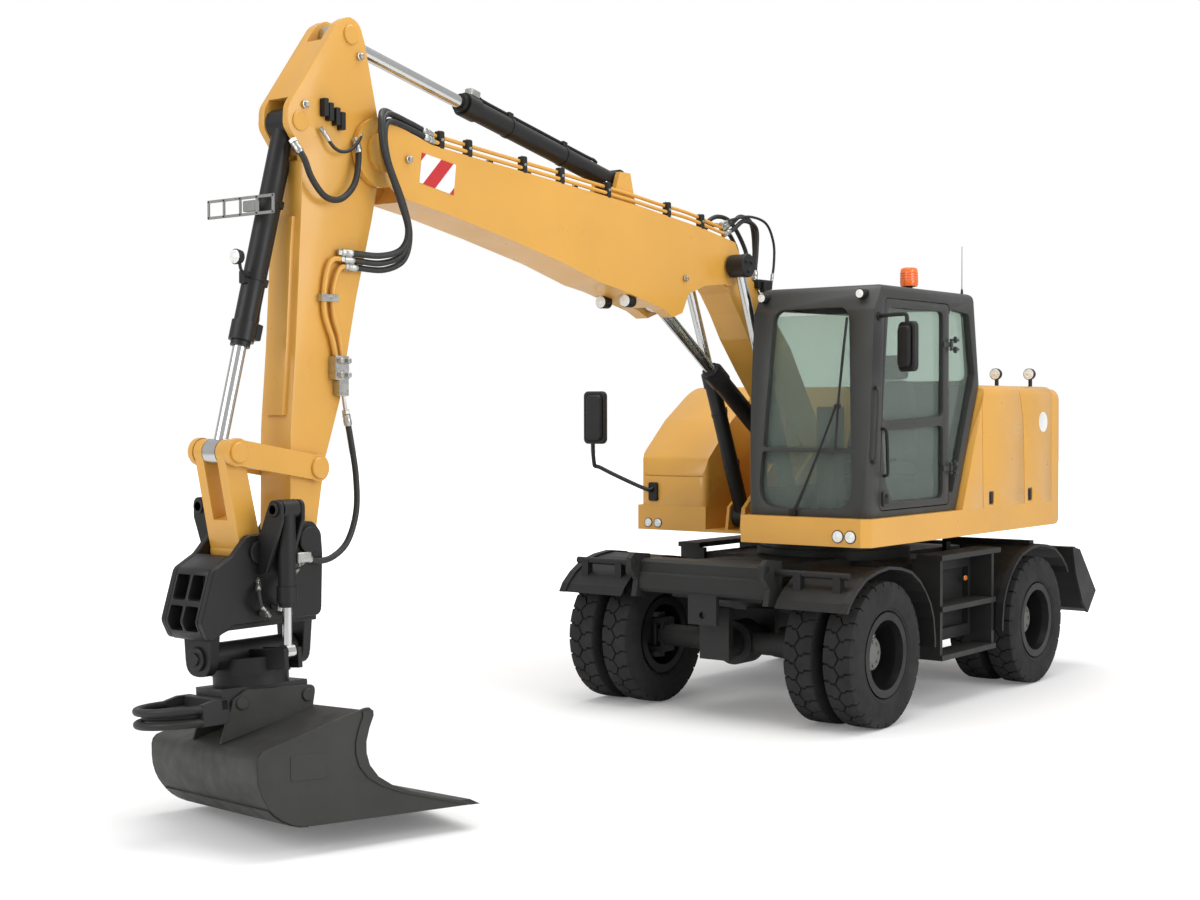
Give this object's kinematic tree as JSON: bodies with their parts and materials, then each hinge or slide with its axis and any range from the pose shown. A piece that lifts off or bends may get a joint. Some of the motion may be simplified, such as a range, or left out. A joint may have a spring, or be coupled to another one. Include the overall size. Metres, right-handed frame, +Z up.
{
  "type": "wheeled excavator",
  "caption": "Short-tail wheeled excavator with two-piece boom, tiltrotator, gripper, grading bucket and rear dozer blade on twin tyres.",
  "frame": {"origin": "on the ground under the swing axis", "axes": "+X forward along the undercarriage, +Y to the machine's left, +Z up"},
  "size_m": [9.1415, 3.19, 4.515],
  "materials": {
    "yellow_paint": "gloss",
    "dark_grey_paint": "satin",
    "black_paint": "satin",
    "bright_steel": "polished",
    "tyre_rubber": "matte",
    "rim_paint": "satin",
    "tinted_glass": "gloss",
    "black_plastic": "matte",
    "lamp_lens": "gloss"
  },
  "bodies": {
    "chassis": {"chassis_frame": "dark_grey_paint", "axles": "dark_grey_paint", "propshaft": "dark_grey_paint", "swing_bearing": "black_paint", "fenders": "black_plastic", "side_steps": "dark_grey_paint"},
    "knuckle_left": {"knuckle_left": "dark_grey_paint"},
    "knuckle_right": {"knuckle_right": "dark_grey_paint"},
    "wheel_front_left": {"tyres_front_left": "tyre_rubber", "rims_front_left": "rim_paint"},
    "wheel_front_right": {"tyres_front_right": "tyre_rubber", "rims_front_right": "rim_paint"},
    "wheel_rear_left": {"tyres_rear_left": "tyre_rubber", "rims_rear_left": "rim_paint"},
    "wheel_rear_right": {"tyres_rear_right": "tyre_rubber", "rims_rear_right": "rim_paint"},
    "blade": {"dozer_blade": "dark_grey_paint"},
    "blade_barrels": {"blade_barrels": "dark_grey_paint"},
    "blade_rods": {"blade_rods": "bright_steel"},
    "upper": {"upper_frame": "yellow_paint", "counterweight": "yellow_paint", "engine_hood": "yellow_paint", "engine_block": "dark_grey_paint", "right_body": "yellow_paint", "cab_shell": "dark_grey_paint", "cab_glass": "tinted_glass", "seat": "black_plastic", "console": "black_plastic", "lamps": "lamp_lens", "mirrors": "black_plastic"},
    "door": {"cab_door": "dark_grey_paint", "door_glass": "tinted_glass"},
    "lower_boom": {"lower_boom": "yellow_paint"},
    "lift_barrels": {"lift_barrels": "black_paint"},
    "lift_rods": {"lift_rods": "bright_steel"},
    "adjust_barrel": {"adjust_barrel": "black_paint"},
    "adjust_rod": {"adjust_rod": "bright_steel"},
    "upper_boom": {"upper_boom": "yellow_paint"},
    "stick_barrel": {"stick_barrel": "black_paint"},
    "stick_rod": {"stick_rod": "bright_steel"},
    "stick": {"stick": "yellow_paint"},
    "bucket_barrel": {"bucket_barrel": "black_paint"},
    "bucket_rod": {"bucket_rod": "bright_steel"},
    "rockers": {"rockers": "yellow_paint"},
    "link": {"link": "yellow_paint"},
    "hanger": {"tilt_hanger": "black_paint", "tilt_barrels": "black_paint"},
    "tilt_rod_left": {"tilt_rod_left": "bright_steel"},
    "tilt_rod_right": {"tilt_rod_right": "bright_steel"},
    "tilt_body": {"tilt_body": "black_paint"},
    "rotor": {"rotor": "black_paint", "gripper": "dark_grey_paint", "bucket": "dark_grey_paint"}
  },
  "joints": [
    {"name": "swing", "type": "hinge", "parent": "chassis", "child": "upper", "pos_m": [0, 0, 1.3], "axis": [0, 0, 1], "continuous": true},
    {"name": "steer_left", "type": "hinge", "parent": "chassis", "child": "knuckle_left", "pos_m": [1.4, 0.79, 0.526], "axis": [0, 0, 1], "range_deg": [-30, 30]},
    {"name": "steer_right", "type": "hinge", "parent": "chassis", "child": "knuckle_right", "pos_m": [1.4, -0.79, 0.526], "axis": [0, 0, 1], "range_deg": [-30, 30]},
    {"name": "roll_front_left", "type": "hinge", "parent": "knuckle_left", "child": "wheel_front_left", "pos_m": [1.4, 0.9685, 0.526], "axis": [0, 1, 0], "continuous": true},
    {"name": "roll_front_right", "type": "hinge", "parent": "knuckle_right", "child": "wheel_front_right", "pos_m": [1.4, -0.9685, 0.526], "axis": [0, 1, 0], "continuous": true},
    {"name": "roll_rear_left", "type": "hinge", "parent": "chassis", "child": "wheel_rear_left", "pos_m": [-1.2, 0.9685, 0.526], "axis": [0, 1, 0], "continuous": true},
    {"name": "roll_rear_right", "type": "hinge", "parent": "chassis", "child": "wheel_rear_right", "pos_m": [-1.2, -0.9685, 0.526], "axis": [0, 1, 0], "continuous": true},
    {"name": "blade_lower", "type": "hinge", "parent": "chassis", "child": "blade", "pos_m": [-1.45, 0, 0.6], "axis": [0, -1, 0], "range_deg": [0, 41]},
    {"name": "blade_cylinder_swing", "type": "hinge", "parent": "chassis", "child": "blade_barrels", "pos_m": [-1.56, 0, 1.01], "axis": [0, -1, 0], "range_deg": [-1, 30]},
    {"name": "blade_cylinder_stroke", "type": "slide", "parent": "blade_barrels", "child": "blade_rods", "axis": [-0.848, 0, -0.53], "range_m": [-0.005, 0.275]},
    {"name": "door_open", "type": "hinge", "parent": "upper", "child": "door", "pos_m": [0.34, 1.219, 1.55], "axis": [0, 0, 1], "range_deg": [0, 85]},
    {"name": "boom_lift", "type": "hinge", "parent": "upper", "child": "lower_boom", "pos_m": [0.2, -0.14, 1.8], "axis": [0, -1, 0], "range_deg": [-45, 25]},
    {"name": "lift_cylinder_swing", "type": "hinge", "parent": "upper", "child": "lift_barrels", "pos_m": [0.765, -0.14, 1.425], "axis": [0, -1, 0], "range_deg": [-46, 26]},
    {"name": "lift_cylinder_stroke", "type": "slide", "parent": "lift_barrels", "child": "lift_rods", "axis": [0.3878, 0, 0.9218], "range_m": [-0.505, 0.285]},
    {"name": "boom_adjust", "type": "hinge", "parent": "lower_boom", "child": "upper_boom", "pos_m": [1.571, -0.14, 3.341], "axis": [0, 1, 0], "range_deg": [-35, 40]},
    {"name": "adjust_cylinder_swing", "type": "hinge", "parent": "lower_boom", "child": "adjust_barrel", "pos_m": [0.62, -0.14, 1.93], "axis": [0, 1, 0], "range_deg": [-7.5, 8.5]},
    {"name": "adjust_cylinder_stroke", "type": "slide", "parent": "adjust_barrel", "child": "adjust_rod", "axis": [0.8307, 0, 0.5568], "range_m": [-0.44, 0.385]},
    {"name": "stick_out", "type": "hinge", "parent": "upper_boom", "child": "stick", "pos_m": [5.211, -0.14, 3.761], "axis": [0, -1, 0], "range_deg": [-45, 60]},
    {"name": "stick_cylinder_swing", "type": "hinge", "parent": "upper_boom", "child": "stick_barrel", "pos_m": [2.8, -0.14, 3.85], "axis": [0, -1, 0], "range_deg": [-4.5, 5.8]},
    {"name": "stick_cylinder_stroke", "type": "slide", "parent": "stick_barrel", "child": "stick_rod", "axis": [0.9779, 0, 0.209], "range_m": [-0.605, 0.455]},
    {"name": "tool_curl", "type": "hinge", "parent": "stick", "child": "hanger", "pos_m": [5.8, -0.14, 1.562], "axis": [0, 1, 0], "range_deg": [-45, 90]},
    {"name": "rocker_swing", "type": "hinge", "parent": "stick", "child": "rockers", "pos_m": [5.707, -0.14, 1.957], "axis": [0, 1, 0], "range_deg": [-27, 53]},
    {"name": "link_swing", "type": "hinge", "parent": "hanger", "child": "link", "pos_m": [6.164, -0.14, 1.52], "axis": [0, 1, 0], "range_deg": [-66, 34]},
    {"name": "bucket_cylinder_swing", "type": "hinge", "parent": "stick", "child": "bucket_barrel", "pos_m": [5.8, -0.14, 3.87], "axis": [0, 1, 0], "range_deg": [-1.6, 3]},
    {"name": "bucket_cylinder_stroke", "type": "slide", "parent": "bucket_barrel", "child": "bucket_rod", "axis": [0.2577, 0, -0.9662], "range_m": [-0.25, 0.495]},
    {"name": "tool_tilt", "type": "hinge", "parent": "hanger", "child": "tilt_body", "pos_m": [6.08, -0.14, 0.96], "axis": [1, 0, 0], "range_deg": [-45, 35]},
    {"name": "tilt_stroke_left", "type": "slide", "parent": "hanger", "child": "tilt_rod_left", "axis": [0, 0, -1], "range_m": [-0.175, 0.225]},
    {"name": "tilt_stroke_right", "type": "slide", "parent": "hanger", "child": "tilt_rod_right", "axis": [0, 0, -1], "range_m": [-0.225, 0.175]},
    {"name": "tool_turn", "type": "hinge", "parent": "tilt_body", "child": "rotor", "pos_m": [6.08, -0.14, 0.96], "axis": [0, -0.0872, 0.9962], "continuous": true}
  ],
  "couplings": [
    {"joint": "steer_right", "follows": "steer_left", "ratio": 1},
    {"joint": "blade_cylinder_swing", "follows": "blade_lower", "ratio": 0.66},
    {"joint": "blade_cylinder_stroke", "follows": "blade_lower", "m_per_rad": 0.36096},
    {"joint": "lift_cylinder_swing", "follows": "boom_lift", "ratio": 1},
    {"joint": "lift_cylinder_stroke", "follows": "boom_lift", "m_per_rad": 0.63598},
    {"joint": "adjust_cylinder_swing", "follows": "boom_adjust", "ratio": 0.2},
    {"joint": "adjust_cylinder_stroke", "follows": "boom_adjust", "m_per_rad": -0.62452},
    {"joint": "stick_cylinder_swing", "follows": "stick_out", "ratio": 0.09},
    {"joint": "stick_cylinder_stroke", "follows": "stick_out", "m_per_rad": -0.57296},
    {"joint": "rocker_swing", "follows": "tool_curl", "ratio": 0.58},
    {"joint": "link_swing", "follows": "tool_curl", "ratio": -0.72},
    {"joint": "bucket_cylinder_swing", "follows": "tool_curl", "ratio": 0.03},
    {"joint": "bucket_cylinder_stroke", "follows": "tool_curl", "m_per_rad": 0.3094},
    {"joint": "tilt_stroke_left", "follows": "tool_tilt", "m_per_rad": -0.27788},
    {"joint": "tilt_stroke_right", "follows": "tool_tilt", "m_per_rad": 0.27788}
  ]
}
